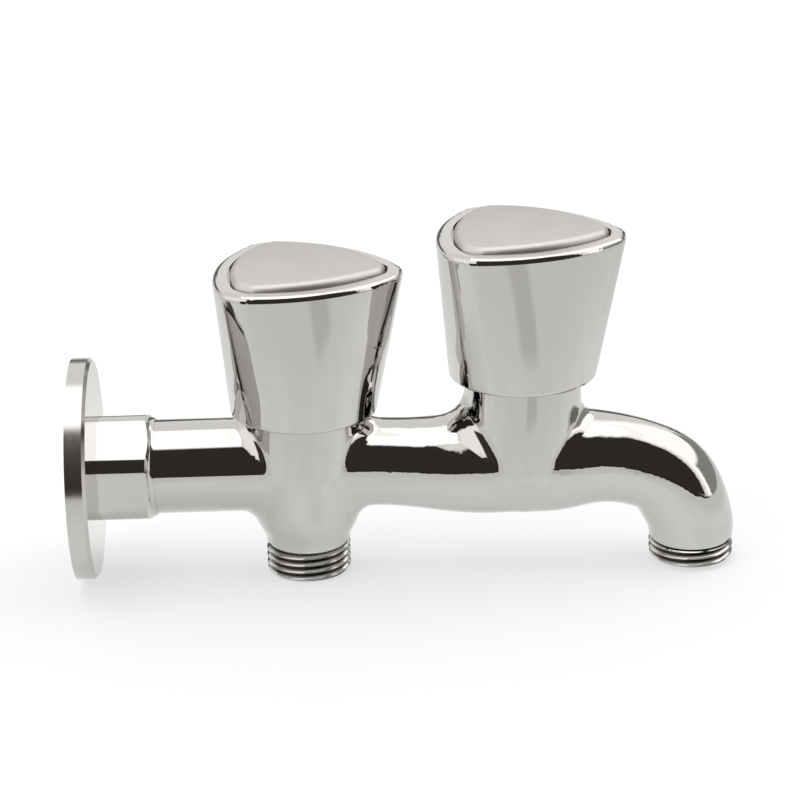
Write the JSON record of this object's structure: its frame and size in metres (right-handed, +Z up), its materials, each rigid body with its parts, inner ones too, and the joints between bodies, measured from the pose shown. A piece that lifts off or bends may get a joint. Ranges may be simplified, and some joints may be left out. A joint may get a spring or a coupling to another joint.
{
  "type": "bib tap",
  "caption": "Wall-mounted bib tap with a sliding wall flange, quarter-turn ceramic-disc valves under three-cornered knobs, a downward threaded outlet and a curved threaded spout.",
  "frame": {"origin": "on the inlet's axis in the plane of the wall, where the inlet's thread reaches full size", "axes": "+X along the inlet's axis out of the wall towards the spout, +Z up along the knobs' axes"},
  "size_m": [0.1638, 0.0544, 0.0879],
  "materials": {
    "chrome_body": "polished",
    "chrome_flange": "polished",
    "chrome_knob": "polished",
    "satin_cap": "satin",
    "brass": "satin",
    "rubber": "matte",
    "ceramic": "satin",
    "white_plastic": "matte",
    "steel": "satin"
  },
  "bodies": {
    "body": {"tap_body": "chrome_body", "headwork_body_1": "brass", "headwork_oring_1": "rubber", "fixed_disc_1": "ceramic", "seat_seal_1": "rubber", "headwork_body_2": "brass", "headwork_oring_2": "rubber", "fixed_disc_2": "ceramic", "seat_seal_2": "rubber"},
    "flange": {"wall_flange": "chrome_flange"},
    "handle_1": {"knob_1": "chrome_knob", "knob_cap_1": "satin_cap", "knob_screw_1": "steel", "broach_insert_1": "white_plastic", "spindle_1": "brass", "spindle_orings_1": "rubber", "circlip_1": "steel", "glide_washer_1": "white_plastic", "moving_disc_1": "ceramic"},
    "handle_2": {"knob_2": "chrome_knob", "knob_cap_2": "satin_cap", "knob_screw_2": "steel", "broach_insert_2": "white_plastic", "spindle_2": "brass", "spindle_orings_2": "rubber", "circlip_2": "steel", "glide_washer_2": "white_plastic", "moving_disc_2": "ceramic"}
  },
  "joints": [
    {"name": "valve_1_turn", "type": "hinge", "parent": "body", "child": "handle_1", "pos_m": [0.0567, 0, 0.0139], "axis": [0, 0, 1], "range_deg": [0, 90]},
    {"name": "valve_2_turn", "type": "hinge", "parent": "body", "child": "handle_2", "pos_m": [0.1104, 0, 0.0217], "axis": [0, 0, 1], "range_deg": [0, 90]},
    {"name": "flange_slide", "type": "slide", "parent": "body", "child": "flange", "axis": [1, 0, 0], "range_m": [0, 0.016]}
  ]
}
